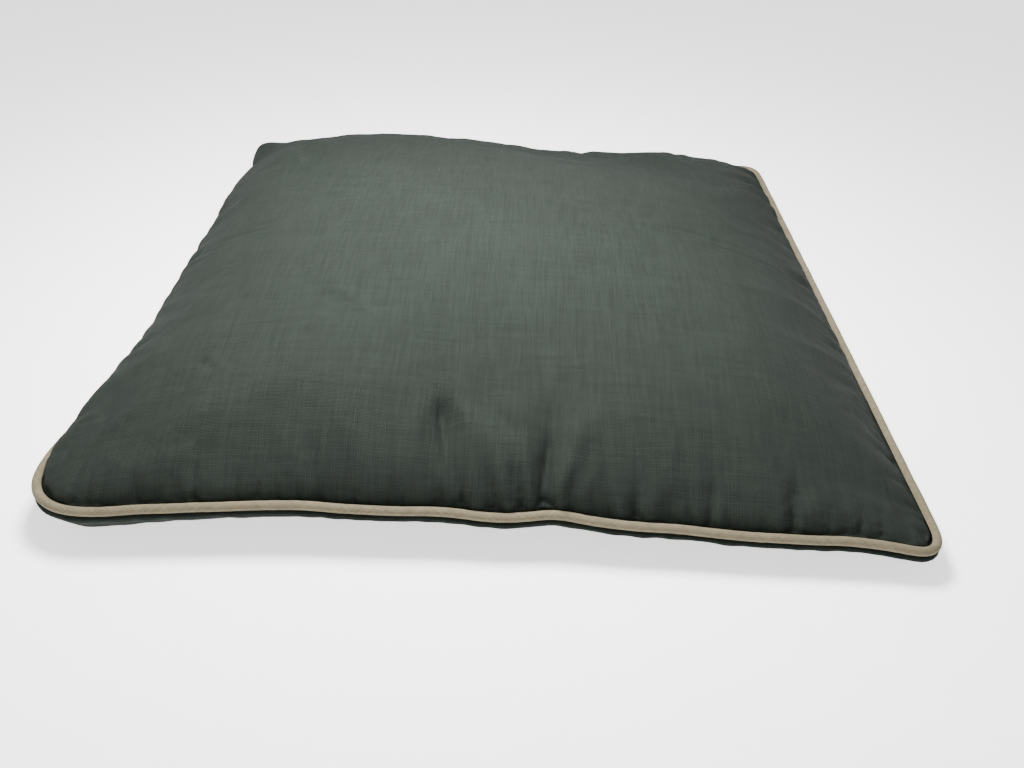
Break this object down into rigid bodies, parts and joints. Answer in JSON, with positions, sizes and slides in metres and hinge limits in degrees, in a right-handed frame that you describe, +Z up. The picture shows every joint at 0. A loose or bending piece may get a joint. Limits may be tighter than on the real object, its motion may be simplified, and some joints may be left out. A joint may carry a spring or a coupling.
{
  "type": "floor cushion",
  "caption": "Square knife-edge floor cushion with contrasting piping round its seam, a softly filled inner pad and a zip in the rear edge.",
  "frame": {"origin": "on the floor, under the middle of the cushion", "axes": "+Z up, +Y towards the rear edge that holds the zip, +X along that edge"},
  "size_m": [0.614, 0.614, 0.112],
  "materials": {
    "cover_cloth": "matte plain-weave linen and cotton, dark grey-green",
    "piping_cloth": "matte plain weave cut on the bias, taupe",
    "cotton_cord": "soft twisted cotton",
    "calico": "matte unbleached cotton",
    "filling": "loose white fibre",
    "zip_tape": "close woven polyester tape, grey-green",
    "zip_nylon": "satin nylon monofilament, grey-green",
    "zip_metal": "satin zinc alloy"
  },
  "bodies": {
    "cushion": {"top_panel": "cover_cloth", "underside_panel": "cover_cloth", "piping_sleeve": "piping_cloth", "piping_cord": "cotton_cord", "pad_casing_upper": "calico", "pad_casing_lower": "calico", "pad_filling": "filling", "zip_tape_upper": "zip_tape", "zip_tape_lower": "zip_tape", "zip_teeth_upper": "zip_nylon", "zip_teeth_lower": "zip_nylon", "zip_bottom_stop": "zip_metal", "zip_top_stop_upper": "zip_metal", "zip_top_stop_lower": "zip_metal"},
    "zip_slider": {"zip_slider": "zip_metal"},
    "zip_pull": {"zip_pull": "zip_metal"}
  },
  "joints": [
    {"name": "zip_slide", "type": "slide", "parent": "cushion", "child": "zip_slider", "axis": [-1, 0, 0], "range_m": [0, 0.436]},
    {"name": "pull_swing", "type": "hinge", "parent": "zip_slider", "child": "zip_pull", "pos_m": [0.2172, 0.30445, 0.015], "axis": [0, 0, -1], "range_deg": [0, 180]}
  ]
}
